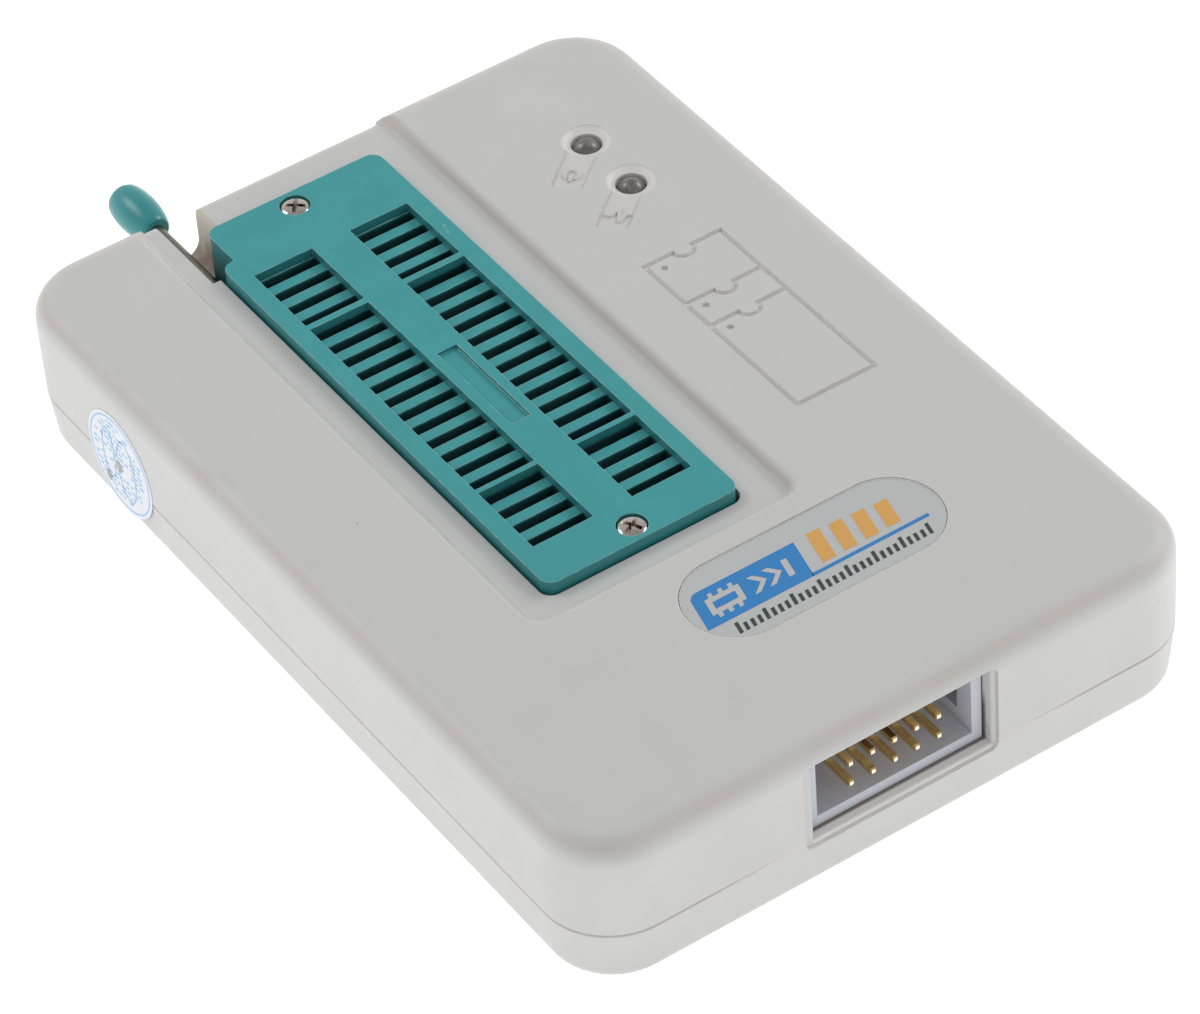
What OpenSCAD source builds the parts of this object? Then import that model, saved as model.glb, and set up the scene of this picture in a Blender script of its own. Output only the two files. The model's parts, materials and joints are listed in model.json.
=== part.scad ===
// USB microcontroller programmer with a forty-way lever socket.
// Z is up and +Y points to the lever end. The origin is the centre of the underside.

/* [Case] */
// Width of the case
case_w = 71.5; // [70:0.5:73]
// Length of the case
case_l = 103.8; // [103:0.2:106]
// Height of the case
case_h = 17.8; // [17.6:0.1:18]
// Radius of the case's upright corners
corner_r = 7.5; // [6:0.5:8]
// Radius along the top edge
top_fillet = 2.5; // [2:0.1:3]
// Thickness of the walls and the roof
wall = 2; // [1.8:0.1:2.2]
// Thickness of the floor
floor_t = 2; // [1.8:0.1:2]
// Height of the seam between the two shells
split_z = 6.5; // [6.4:0.1:6.8]
// How far the lower shell draws in towards its underside
bottom_taper = 0.5; // [0.2:0.1:0.8]
// Radius along the bottom edge
bottom_fillet = 1.5; // [1:0.1:1.8]
// Chamfer on each side of the seam
seam_chamfer = 0.18; // [0.1:0.02:0.3]

/* [Circuit board] */
// Height of the board's upper face
pcb_top = 5.8; // [5.8:0.1:5.9]
// Thickness of the board
pcb_t = 1.6; // [1.5:0.1:1.6]
// Distance of the case screws from the case's centre, across
boss_x = 28.5; // [28:0.5:29]
// Distance of the case screws from the case's centre, along
boss_y = 44.5; // [44:0.5:45]

/* [Lever socket] */
// Centre of the socket across the case
socket_x = -6.2; // [-6.4:0.1:-6]
// Centre of the socket along the case
socket_y = 13.5; // [13.2:0.1:13.8]
// Height of the socket cover's top face
cover_top = 18; // [17.9:0.1:18.2]
// Width of the socket cover
cover_w = 22.4; // [22.2:0.1:22.6]
// Length of the socket cover
cover_l = 64.9; // [64.6:0.1:65.2]
// Contact pitch
pitch = 2.54; // [2.54]
// Contacts on each side
contacts_per_side = 20; // [20]
// Width of a comb slot
slot_w = 1.3; // [1.1:0.1:1.4]
// Travel of the comb between closed and open
comb_travel = 1.2; // [1:0.1:1.2]
// Depth of the sunk panel around the socket
recess_depth = 1.1; // [0.9:0.1:1.2]

/* [Lever] */
// Radius of the lever wire
wire_r = 0.8; // [0.7:0.05:0.8]
// Distance of the lever arm from the socket's centre
arm_offset = 10.5; // [10.4:0.1:10.6]
// Height of the lever's axis
axis_z = 12.6; // [12.5:0.1:12.7]
// Distance of the lever's axis from the socket's centre
axis_offset = 27.9; // [27.8:0.1:28]
// Length of the knob
knob_len = 6.8; // [6:0.1:8]
// Widest radius of the knob
knob_r = 2.25; // [2.1:0.05:2.5]

/* [Ports and lights] */
// Centre of the rear port across the case
usb_x = 18; // [16:0.5:19]
// Lights, across the case
led_x = 23.1; // [22:0.1:24]
// Distance between the two lights
led_gap = 8.1; // [8:0.1:9]
// Radius of a light
led_r = 1.6; // [1.5:0.05:1.6]

/* [Hidden] */
$fn = 64;
eps = 0.01;
// a cut reaches this far past the surface it opens
over = 1;

case_grey = [0.80, 0.80, 0.79];
teal = [0.27, 0.58, 0.59];
dark_plastic = [0.13, 0.13, 0.14];
steel = [0.75, 0.76, 0.77];
gold = [0.86, 0.68, 0.32];
tin = [0.78, 0.78, 0.76];
board_green = [0.05, 0.30, 0.16];
lilac = [0.80, 0.81, 0.87];
badge_silver = [0.74, 0.76, 0.78];
lens_grey = [0.35, 0.36, 0.37];
ferrite_grey = [0.25, 0.24, 0.24];
copper = [0.72, 0.38, 0.18];
pale_blue = [0.86, 0.91, 0.96];

// the case's inner faces
inner_w = case_w - 2 * wall;
inner_l = case_l - 2 * wall;
roof_z = case_h - wall;
pcb_bottom = pcb_top - pcb_t;
board_inset = 0.5;
board_screw_r = 1.7;
board_hole_r = 0.5;
back_y = case_l / 2;
front_y = -case_l / 2;
// the flat area between the centres of the rounded corners
core_w = case_w - 2 * corner_r;
core_l = case_l - 2 * corner_r;

// the lip on the lower shell that locates the upper one
lip_t = 0.9;
lip_h = 1;
lip_gap = 0.1;

// case screws, driven upwards through the board
boss_r = 3.3;
screw_pilot_r = 1.1;
screw_r = 1.25;
screw_hole_r = 1.5;
screw_head_r = 2.4;
screw_head_h = 1.5;
screw_sink_r = 2.7;
screw_sink = 2.1;
screw_tip_z = 12;
// driver recess: its arms as shares of the head's radius
cross_length = 1.2;
cross_width = 0.28;
cross_depth = 0.7;

// sunk panel and window around the socket
recess_left = socket_x - 15.6;
recess_right = socket_x + 16.4;
recess_front = socket_y - 36.5;
recess_corner_r = 2.6;
// how far the sunk panel's wall slopes out, and the radius along its top
recess_wall_w = 1.7;
recess_brow_r = 1;
panel_z = case_h - recess_depth;
panel_t = 1.8;
window_gap = 0.3;
panel_edge_r = 1.6;

// socket cover
cover_r = 1.4;
cover_plate = 1;
cover_skirt = 1.2;
skirt_z = 13;
head_left = 9.55;
head_y = 26.7;
cover_screw_y = 30.3;
cover_screw_head_r = 1.5;
cover_screw_head_h = 0.9;
cover_screw_sink = 0.9;
cover_screw_sink_r = 1.6;
cover_screw_r = 1;
cover_screw_hole_r = 1.1;
cover_screw_tip_z = 10.6;
cover_pilot_r = 0.85;
cover_pilot_z = 8.6;
cover_post_z = 15.6;
cover_boss_r = 2;
cover_post_r = 2;
pocket_in = 2.25;
pocket_out = 9.2;
// ends of the sunk pockets along each column, from the lever end
pocket_backs = [23.42, 12.87, -17.54];
pocket_fronts = [13.61, -16.97, -27.04];
label_w = 2.3;
label_l = 13.2;
label_y = -4.6;
label_depth = 0.4;
// ribs that keep the lever's shaft down in its saddle
keeper_x = 7.7;
keeper_w = 1;
keeper_l = 1.5;

// comb
comb_gap = 0.1;
comb_top = cover_top - cover_plate - comb_gap;
comb_t = 1.6;
comb_w = 19.6;
comb_front = -29;
comb_back = 25.2;
comb_slot_in = 2.1;
comb_slot_out = 9.35;
comb_slot_mid = (comb_slot_in + comb_slot_out) / 2;
comb_notch = 2.6;
first_slot = 22;
comb_arm_x = 5;
comb_arm_w = 2.8;
comb_lug_t = 1.1;
comb_lug_z = 12.9;

// base
base_top = comb_top - comb_t - comb_gap;
cavity_in = 3;
cavity_out = 8.4;
cavity_w = 1.5;
crank_pocket_w = 3.6;
crank_pocket_l = 6;
crank_pocket_z = 11.5;

// contacts
leaf_w = 4.6;
leaf_t = 0.22;
leaf_out = 0.35;
contact_foot_t = 0.3;
contact_tail_w = 0.5;

// lever: half the comb's travel each way from the crank's mid position
crank = comb_travel / 2;
journal_w = 3.2;
journal_gap = 0.06;
wire_gap = 0.06;
shaft_right = 8.6;
axis_y = socket_y + axis_offset;
arm_x = socket_x - arm_offset;
knob_start = back_y + 3;
// the knob's profile, as shares of its widest radius and of its length
knob_neck = 0.66;
knob_tip = 0.76;
knob_bulge = 0.29;
knob_skew = 1.05;
knob_roundness = 0.6;
knob_grip = 0.6;

// trough in the back wall that the lever lies in
trough_left = arm_x - 1.9;
trough_right = arm_x + 3.2;
trough_w = trough_right - trough_left;
trough_z = 10.2;
trough_r = 2;
trough_wall = 1.2;
trough_front = socket_y + cover_l / 2 + window_gap;

// header
header_w = 20.3;
header_h = 9.2;
header_inner_w = 17.9;
header_inner_h = 6.7;
header_depth = 9.1;
header_cavity = 6.5;
header_key_w = 4.5;
header_key_l = 4.6;
header_mouth = front_y + 1.85;
header_z = pcb_top + header_h / 2;
header_columns = 5;
pin_w = 0.64;
pin_bevel = 0.1;
pin_tail_z = 3;
pin_first_tail = header_mouth + header_depth + 1.3;
pin_tip = header_mouth - 0.2;
// side slots in the shroud
header_slot_front = 2.3;
header_slot_back = 5.5;
header_slot_z = 8.6;
// stepped opening in front of the header: a wide mouth, then a close lip
port_left = -11.5;
port_right = 10.75;
port_top = 15.95;
port_bottom = 5.3;
port_corner_r = 0.8;
port_mouth_depth = 0.45;
lip_half_w = 10.3;
lip_bottom = 5.75;
lip_top = 15.3;
lip_round = 0.4;

// rear port
usb_w = 7.7;
usb_h = 3.9;
usb_shell_t = 0.3;
usb_depth = 9.2;
usb_mouth = back_y - 0.6;
usb_contacts_n = 5;
usb_pitch = 0.8;
usb_tongue_w = 5.2;
usb_tongue_t = 0.9;
usb_tongue_z = 1.7;
usb_tongue_setback = 0.8;
usb_block = 2.6;
usb_contact_w = 0.4;
usb_contact_t = 0.15;
usb_contact_setback = 1.3;
usb_corner_w = 0.85;
usb_corner_h = 1.2;
usb_hole_w = 9;
usb_hole_h = 5;
usb_hole_z = pcb_top - 0.5;

// lights
led_y = 34;
led_base_z = 12.4;
led_flange_r = 1.9;
led_flange_h = 1;
led_top = case_h;
led_hole_r = 1.68;
led_lead_w = 0.5;
led_dish_r = 2.65;
led_dish_foot_r = 2;
led_dish_depth = 0.45;
led_tail_depth = 0.3;
led_tail_w = 3.5;
led_tail_l = 8;
led_tail_r = 0.9;
led_tail_angle = 220;
// raised marks beside the lights: a ring with a bar, and a zigzag
mark_at = 5.3;
mark_w = 0.4;
mark_r = 0.95;
mark_sink = 0.08;
mark_gap = 0.45;
zigzag = [[-1.3, -0.3], [-0.5, -0.3], [0, 1], [0.5, -1], [0.9, 0.2], [1.3, 0.2]];

// badge
badge_x = 5;
badge_y = -30.8;
badge_w = 28.8;
badge_l = 11.2;
badge_rim = 0.06;
badge_depth = 0.8;
badge_t = 0.74;

// chip outline cut into the roof
chip_x = 21.05;
chip_w = 9.3;
chip_back = 13.8;
chip_front = -12.4;
chip_steps = [6.6, 2.4];
groove_w = 0.55;
groove_depth = 0.3;
chip_notch_r = 1.2;
chip_dot_r = 0.4;
chip_dot_in = 1.5;
chip_dot_down = 1.4;

// electronics
chip_gap = 0.1;
lead_t = 0.15;
lead_z = 0.7;
lead_knee = 0.5;
lead_reach = 1;
controller_place = [22, -3];
controller_w = 10;
controller_h = 1.4;
controller_leads_side = 16;
controller_lead_pitch = 0.5;
controller_lead_w = 0.22;
controller_mark_r = 0.6;
controller_mark_in = 3.4;
controller_mark_depth = 0.1;
driver_places = [[12.4, -15], [12.4, 16], [-26.5, 2], [-26.5, 22]];
driver_w = 7.5;
driver_l = 12.8;
driver_h = 2.35;
driver_leads_side = 10;
driver_lead_pitch = 1.27;
driver_lead_w = 0.42;
driver_notch_r = 1;
driver_notch_depth = 0.2;
crystal_place = [23, -15];
crystal_w = 10.4;
crystal_l = 3.9;
crystal_h = 3.6;
crystal_flange = 0.5;
crystal_flange_h = 0.4;
crystal_r = 1.9;
inductor_place = [-26.5, -26];
inductor_r = 3.9;
inductor_h = 4.4;
inductor_flange_h = 0.9;
inductor_core_r = 1.6;
inductor_coil_r = 3.3;
capacitor_places = [[16, -37.4], [25, -37.4]];
capacitor_base_w = 6.6;
capacitor_base_h = 0.8;
capacitor_r = 3.1;
capacitor_h = 6.6;
regulator_place = [28.5, 10];
regulator_size = [3.5, 6.5, 1.7];
resistor_size = [1.2, 2, 0.5];
resistor_step = [3, -4];
resistor_start = [15, -23];
resistor_columns = 6;

// sticker over the seam
sticker_y = 31.3;
sticker_z = 7.85;
sticker_r = 6.05;
sticker_t = 0.12;

// ---- shared shapes ----

module rounded_rect(w, l, r) {
    square([w - 2 * r, l], center = true);
    square([w, l - 2 * r], center = true);
    for (x = [-1, 1], y = [-1, 1])
        translate([x * (w / 2 - r), y * (l / 2 - r)]) circle(r);
}

// a box given by its two opposite corners
module box(low, high) {
    translate(low) cube(high - low);
}

// sweeps a wall section round the case: x runs out from the corner's centre, y runs up
module around_case() {
    signs = [[1, 1], [-1, 1], [-1, -1], [1, -1]];
    for (k = [0:3]) {
        translate([signs[k][0] * core_w / 2, signs[k][1] * core_l / 2, 0])
            rotate(90 * k) rotate_extrude(angle = 90) children();
        run = k % 2 == 0 ? core_l : core_w;
        out = k % 2 == 0 ? core_w : core_l;
        rotate(90 * k) translate([out / 2, run / 2, 0])
            rotate([90, 0, 0]) linear_extrude(run) children();
    }
}

// fills the case's middle, between the swept walls
module core_slab(z, t) {
    translate([-core_w / 2, -core_l / 2, z]) cube([core_w, core_l, t]);
}

module at_case_screws() {
    for (x = [-1, 1], y = [-1, 1]) translate([x * boss_x, y * boss_y, 0]) children();
}

module at_socket() {
    translate([socket_x, socket_y, 0]) children();
}

module at_cover_screws() {
    for (y = [-1, 1]) translate([0, y * cover_screw_y, 0]) children();
}

// places a child at the middle of each comb slot, on both sides of the socket
module at_contacts() {
    for (side = [-1, 1], k = [0:contacts_per_side - 1])
        translate([side * (cavity_in + cavity_out) / 2, first_slot + slot_w / 2 - pitch * k, 0])
            children();
}

module along_x(x0, x1, r) {
    translate([x0, 0, 0]) rotate([0, 90, 0]) cylinder(h = x1 - x0, r = r);
}

// ---- case ----

module upper_section() {
    difference() {
        union() {
            translate([0, split_z]) square([corner_r - top_fillet, case_h - split_z]);
            translate([0, split_z]) square([corner_r, case_h - top_fillet - split_z]);
            translate([corner_r - top_fillet, case_h - top_fillet]) circle(top_fillet);
        }
        translate([-eps, 0]) square([corner_r - wall + eps, roof_z]);
        translate([corner_r - wall - eps, 0])
            square([lip_t + lip_gap + eps, split_z + lip_h + lip_gap]);
        translate([corner_r, split_z]) rotate(45) square(seam_chamfer * sqrt(2), center = true);
    }
}

module lower_section() {
    foot = corner_r - bottom_taper;
    difference() {
        union() {
            polygon([[0, 0], [foot - bottom_fillet, 0], [foot, bottom_fillet],
                [corner_r, split_z], [0, split_z]]);
            translate([foot - bottom_fillet, bottom_fillet]) circle(bottom_fillet);
            translate([corner_r - wall, split_z - over]) square([lip_t, lip_h + over]);
        }
        translate([-eps, floor_t]) square([corner_r - wall + eps, case_h]);
        translate([corner_r, split_z]) rotate(45) square(seam_chamfer * sqrt(2), center = true);
    }
}

// the trough's cross-section up to a height, with rounded lower corners
module trough_section(grow, top) {
    w = trough_w + 2 * grow;
    r = trough_r + grow;
    foot = trough_z - grow;
    translate([trough_left - grow, foot]) {
        translate([0, r]) square([w, top - foot - r]);
        translate([r, 0]) square([w - 2 * r, r + eps]);
        translate([r, r]) circle(r);
        translate([w - r, r]) circle(r);
    }
}

module trough(grow, y0, y1, top) {
    translate([0, y1, 0]) rotate([90, 0, 0]) linear_extrude(y1 - y0) trough_section(grow, top);
}

// sunk area beside a light
module led_tail() {
    rotate(led_tail_angle) {
        translate([0, -led_tail_w / 2]) square([led_tail_l - led_tail_r, led_tail_w]);
        translate([led_tail_l / 2, -led_tail_w / 2 + led_tail_r])
            square([led_tail_l / 2, led_tail_w - 2 * led_tail_r]);
        for (side = [-1, 1])
            translate([led_tail_l - led_tail_r, side * (led_tail_w / 2 - led_tail_r)])
                circle(led_tail_r);
    }
}

// deepens the sunk area, leaving a raised mark standing in it
module led_tail_cut() {
    translate([0, 0, case_h - led_tail_depth]) linear_extrude(over) difference() {
        led_tail();
        rotate(led_tail_angle) translate([mark_at, 0]) children();
    }
}

module power_mark() {
    difference() {
        circle(mark_r);
        circle(mark_r - mark_w);
        translate([0, -mark_gap]) square([mark_r, 2 * mark_gap]);
    }
    translate([mark_w / 2, -mark_w / 2]) square([mark_r, mark_w]);
}

// a bent line through the zigzag's points
module status_mark() {
    for (k = [1:len(zigzag) - 1]) {
        a = zigzag[k - 1];
        b = zigzag[k];
        translate([-a[1], a[0]]) rotate(90 + atan2(b[1] - a[1], b[0] - a[0]))
            translate([0, -mark_w / 2]) square([norm(b - a), mark_w]);
        translate([-b[1], b[0]]) circle(mark_w / 2);
    }
}

module at_leds_each(k) {
    translate([led_x, led_y - k * led_gap, 0]) children();
}

module at_leds() {
    for (k = [0, 1]) at_leds_each(k) children();
}

// a straight cut with a half-round dip, as on the end of a chip
module chip_end_line(w) {
    difference() {
        union() {
            translate([-w / 2, -groove_w / 2]) square([w, groove_w]);
            circle(chip_notch_r + groove_w / 2);
        }
        circle(chip_notch_r - groove_w / 2);
        translate([-w / 2, groove_w / 2]) square([w, w]);
    }
}

module chip_outline() {
    l = chip_back - chip_front;
    for (side = [-1, 1])
        translate([side * chip_w / 2 - groove_w / 2, chip_front - groove_w / 2])
            square([groove_w, l + groove_w]);
    translate([-chip_w / 2, chip_front - groove_w / 2]) square([chip_w, groove_w]);
    for (y = concat([chip_back], chip_steps)) {
        translate([0, y]) chip_end_line(chip_w);
        translate([chip_dot_in - chip_w / 2, y - chip_dot_down]) circle(chip_dot_r);
    }
}

module upper_solid() {
    around_case() upper_section();
    core_slab(roof_z, wall);
    // thicker panel under the sunk area
    box([recess_left - wall, recess_front - wall, panel_z - panel_t],
        [recess_right + wall, back_y - wall, roof_z + eps]);
    trough(trough_wall, trough_front, back_y - wall / 2, panel_z);
    at_case_screws() translate([0, 0, pcb_top]) cylinder(h = roof_z - pcb_top + eps, r = boss_r);
}

// what is cut away beside a rounded corner of the sunk panel: x runs out from the corner's centre
module recess_section() {
    top = case_h + over;
    foot_r = recess_foot_r();
    foot = [recess_corner_r - recess_wall_w, panel_z + foot_r];
    brow = [recess_corner_r, case_h - recess_brow_r];
    translate([0, panel_z]) square([foot[0] + eps, top - panel_z]);
    translate(foot) circle(foot_r);
    difference() {
        polygon([foot, brow, [recess_corner_r, top], [foot[0], top]]);
        translate(brow) circle(recess_brow_r);
    }
}

// the foot's radius that makes the two arcs of the wall meet
function recess_foot_r() =
    (pow(recess_wall_w, 2) + pow(recess_depth, 2)) / (2 * recess_depth) - recess_brow_r;

// sunk panel with soft walls and rounded front corners, open at the back
module recess_cut() {
    left = recess_left + recess_corner_r;
    right = recess_right - recess_corner_r;
    front = recess_front + recess_corner_r;
    translate([left, front, 0]) rotate(180) rotate_extrude(angle = 90) recess_section();
    translate([right, front, 0]) rotate(270) rotate_extrude(angle = 90) recess_section();
    translate([right, front, 0]) rotate([90, 0, 270]) linear_extrude(right - left) recess_section();
    run = back_y + over - front;
    translate([right, back_y + over, 0]) rotate([90, 0, 0]) linear_extrude(run) recess_section();
    translate([left, front, 0]) rotate([90, 0, 180]) linear_extrude(run) recess_section();
    box([left - eps, front - eps, panel_z], [right + eps, back_y + over, case_h + over]);
}

// rounds the sunk panel off where it meets the back of the case
module panel_edge_cut() {
    y = back_y - panel_edge_r;
    z = panel_z - panel_edge_r;
    translate([recess_left + recess_wall_w, 0, 0]) rotate([90, 0, 90])
        linear_extrude(recess_right - recess_left - 2 * recess_wall_w) difference() {
            translate([y, z]) square([panel_edge_r + over, panel_edge_r + over]);
            translate([y, z]) circle(panel_edge_r);
        }
}

module window_cut() {
    at_socket() translate([0, 0, panel_z - panel_t - over]) linear_extrude(case_h)
        rounded_rect(cover_w + 2 * window_gap, cover_l + 2 * window_gap, cover_r);
    // the window widens beside the lever
    box([trough_left, axis_y - 2 * wire_r, trough_z],
        [arm_x + wire_r, trough_front + eps, case_h + over]);
}

// the header's opening: a wide mouth, then a lip with a rounded rim close round the shroud
module front_port_cut() {
    step_y = front_y + port_mouth_depth;
    // the mouth, seen from the front, has rounded corners
    translate([(port_left + port_right) / 2, step_y, (port_bottom + port_top) / 2])
        rotate([90, 0, 0]) linear_extrude(port_mouth_depth + over)
            rounded_rect(port_right - port_left, port_top - port_bottom, port_corner_r);
    intersection() {
        linear_extrude(case_h) lip_profile(-lip_half_w, lip_half_w, step_y);
        translate([-case_w / 2, 0, 0]) rotate([90, 0, 90]) linear_extrude(case_w)
            rotate(90) mirror([0, 1]) lip_profile(lip_bottom, lip_top, step_y);
    }
}

// a slot between a and b through the front wall, flared by a round at its outer end
module lip_profile(a, b, y) {
    translate([a, y - eps]) square([b - a, wall + over]);
    difference() {
        translate([a - lip_round, y - eps]) square([b - a + 2 * lip_round, lip_round + eps]);
        for (x = [a - lip_round, b + lip_round])
            translate([x, y + lip_round]) circle(lip_round);
    }
}

module rear_port_cut() {
    translate([usb_x - usb_hole_w / 2, back_y - wall - over, usb_hole_z])
        cube([usb_hole_w, wall + 2 * over, usb_hole_h]);
}

module upper_shell() {
    color(case_grey) difference() {
        upper_solid();
        recess_cut();
        panel_edge_cut();
        window_cut();
        trough(0, trough_front - eps, back_y + over, case_h + over);
        front_port_cut();
        rear_port_cut();
        at_leds() {
            translate([0, 0, roof_z - over]) cylinder(h = wall + 2 * over, r = led_hole_r);
            translate([0, 0, case_h - led_dish_depth]) cylinder(h = 2 * led_dish_depth,
                r1 = led_dish_foot_r, r2 = 2 * led_dish_r - led_dish_foot_r);
            translate([0, 0, case_h - mark_sink]) linear_extrude(over) led_tail();
        }
        at_leds_each(0) led_tail_cut() power_mark();
        at_leds_each(1) led_tail_cut() status_mark();
        translate([chip_x, 0, case_h - groove_depth]) linear_extrude(over) chip_outline();
        translate([badge_x, badge_y, case_h - badge_depth]) linear_extrude(over + badge_depth)
            rounded_rect(badge_w, badge_l, badge_l / 2 - eps);
        at_case_screws() translate([0, 0, pcb_top - over])
            cylinder(h = screw_tip_z - pcb_top + 2 * over, r = screw_pilot_r);
    }
}

module lower_shell() {
    color(case_grey) difference() {
        union() {
            around_case() lower_section();
            core_slab(0, floor_t);
            at_case_screws() translate([0, 0, floor_t / 2])
                cylinder(h = pcb_bottom - floor_t / 2, r = boss_r);
        }
        front_port_cut();
        rear_port_cut();
        at_case_screws() {
            translate([0, 0, -over]) cylinder(h = pcb_top + over, r = screw_hole_r);
            translate([0, 0, -over]) cylinder(h = screw_sink + over, r = screw_sink_r);
        }
    }
}

module case_screws() {
    face_z = screw_sink - screw_head_h;
    color(steel) at_case_screws() difference() {
        union() {
            translate([0, 0, face_z]) cylinder(h = screw_head_h, r = screw_head_r);
            translate([0, 0, screw_sink - eps]) cylinder(h = screw_tip_z - screw_sink, r = screw_r);
        }
        cross_recess(face_z, screw_head_r);
    }
}

// cross-shaped driver recess sunk upwards or downwards from a head's face
module cross_recess(z, r) {
    for (a = [0, 90]) rotate(a) translate([0, 0, z])
        cube([cross_length * r, cross_width * r, 2 * cross_depth], center = true);
}

// ---- board ----

module main_board() {
    color(board_green) difference() {
        translate([0, 0, pcb_bottom]) linear_extrude(pcb_t)
            rounded_rect(inner_w - 2 * board_inset, inner_l - 2 * board_inset,
                corner_r - wall - board_inset);
        at_case_screws() board_hole(board_screw_r);
        at_socket() at_contacts() board_hole(board_hole_r);
        at_header_pins() board_hole(board_hole_r);
        at_leds() for (side = [-1, 1]) translate([side * pitch / 2, 0, 0]) board_hole(board_hole_r);
    }
}

module board_hole(r) {
    translate([0, 0, pcb_bottom - over]) cylinder(h = pcb_t + 2 * over, r = r);
}

// ---- lever socket ----

// plan of the socket: full width, with the lever end stepped in on the lever's side
module socket_plan(inset) {
    r = cover_r - min(inset, cover_r - 0.3);
    head_w = head_left + cover_w / 2;
    main_l = head_y + cover_l / 2;
    translate([0, head_y - main_l / 2]) rounded_rect(cover_w - 2 * inset, main_l - 2 * inset, r);
    translate([(cover_w / 2 - head_left) / 2, 0])
        rounded_rect(head_w - 2 * inset, cover_l - 2 * inset, r);
}

// keeps what lies within the socket's plan
module inside_plan(inset) {
    intersection() {
        linear_extrude(2 * case_h) socket_plan(inset);
        union() children();
    }
}

module lever_axis_cut(r) {
    translate([0, axis_offset, axis_z]) along_x(-cover_w, shaft_right + wire_gap, r);
}

module zif_base() {
    slot_r = wire_r + wire_gap;
    color(teal) at_socket() difference() {
        union() {
            translate([0, 0, pcb_top]) linear_extrude(skirt_z - pcb_top) socket_plan(0);
            translate([0, 0, skirt_z - eps]) linear_extrude(base_top - skirt_z + eps)
                socket_plan(cover_skirt + comb_gap);
            inside_plan(cover_skirt + comb_gap) at_cover_screws() translate([0, 0, skirt_z])
                cylinder(h = cover_post_z - skirt_z, r = cover_post_r);
        }
        at_contacts() translate([0, 0, pcb_top - over])
            linear_extrude(case_h) square([cavity_out - cavity_in, cavity_w], center = true);
        lever_axis_cut(slot_r);
        box([-cover_w, axis_offset - slot_r, axis_z],
            [shaft_right + wire_gap, axis_offset + slot_r, case_h]);
        for (side = [-1, 1]) translate([side * comb_arm_x, axis_offset, 0])
            box([-crank_pocket_w / 2, -crank_pocket_l / 2, crank_pocket_z],
                [crank_pocket_w / 2, crank_pocket_l / 2, case_h]);
        at_cover_screws() translate([0, 0, cover_pilot_z])
            cylinder(h = case_h - cover_pilot_z, r = cover_pilot_r);
    }
}

module comb_slots() {
    for (side = [-1, 1], k = [0:contacts_per_side - 1])
        translate([side * comb_slot_mid, first_slot + slot_w / 2 - pitch * k, comb_top - comb_t / 2])
            cube([comb_slot_out - comb_slot_in, slot_w, comb_t + 2 * over], center = true);
}

module zif_comb() {
    z = comb_top - comb_t;
    journal_y = axis_offset + crank;
    lug_gap = wire_r + journal_gap;
    color(teal) at_socket() {
        difference() {
            box([-comb_w / 2, comb_front, z], [comb_w / 2, comb_back, comb_top]);
            comb_slots();
            // clears the front screw post
            box([-comb_slot_in + eps, comb_front - over, z - over],
                [comb_slot_in - eps, comb_front + comb_notch, comb_top + over]);
        }
        for (side = [-1, 1]) translate([side * comb_arm_x, 0, 0]) {
            box([-comb_arm_w / 2, comb_back - eps, z],
                [comb_arm_w / 2, journal_y + lug_gap + comb_lug_t, comb_top]);
            for (y = [journal_y - lug_gap - comb_lug_t, journal_y + lug_gap])
                box([-comb_arm_w / 2, y, comb_lug_z], [comb_arm_w / 2, y + comb_lug_t, z + eps]);
        }
    }
}

module zif_cover() {
    plate_z = cover_top - cover_plate;
    color(teal) at_socket() difference() {
        union() {
            difference() {
                translate([0, 0, skirt_z]) linear_extrude(cover_top - skirt_z) socket_plan(0);
                translate([0, 0, skirt_z - over]) linear_extrude(plate_z - skirt_z + over)
                    socket_plan(cover_skirt);
            }
            inside_plan(cover_skirt / 2) at_cover_screws() translate([0, 0, cover_post_z])
                cylinder(h = plate_z - cover_post_z + eps, r = cover_boss_r);
            for (side = [-1, 1]) translate([side * keeper_x, axis_offset, 0])
                box([-keeper_w / 2, -keeper_l / 2, axis_z + wire_r / 2],
                    [keeper_w / 2, keeper_l / 2, plate_z + eps]);
        }
        for (side = [-1, 1], k = [0:2])
            cover_pocket(side * pocket_in, side * pocket_out, pocket_fronts[k], pocket_backs[k]);
        translate([0, label_y, cover_top]) cube([label_w, label_l, 2 * label_depth], center = true);
        lever_axis_cut(wire_r + wire_gap);
        at_cover_screws() {
            translate([0, 0, cover_top - cover_screw_sink])
                cylinder(h = cover_screw_sink + over, r = cover_screw_sink_r);
            translate([0, 0, skirt_z - over]) cylinder(h = cover_top, r = cover_screw_hole_r);
        }
    }
}

module cover_pocket(x0, x1, y0, y1) {
    box([min(x0, x1), y0, cover_top - cover_plate - over], [max(x0, x1), y1, cover_top + over]);
}

// each contact is a pair of leaves on a foot, with a tail through the board
module zif_contacts() {
    foot_z = pcb_top + contact_foot_t;
    color(gold) at_socket() at_contacts() {
        for (side = [-1, 1]) translate([0, side * leaf_out, 0])
            box([-leaf_w / 2, -leaf_t / 2, pcb_top], [leaf_w / 2, leaf_t / 2, base_top]);
        box([-leaf_w / 2, -leaf_out, pcb_top], [leaf_w / 2, leaf_out, foot_z]);
        box([-contact_tail_w / 2, -contact_tail_w / 2, pin_tail_z],
            [contact_tail_w / 2, contact_tail_w / 2, foot_z]);
    }
}

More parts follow.
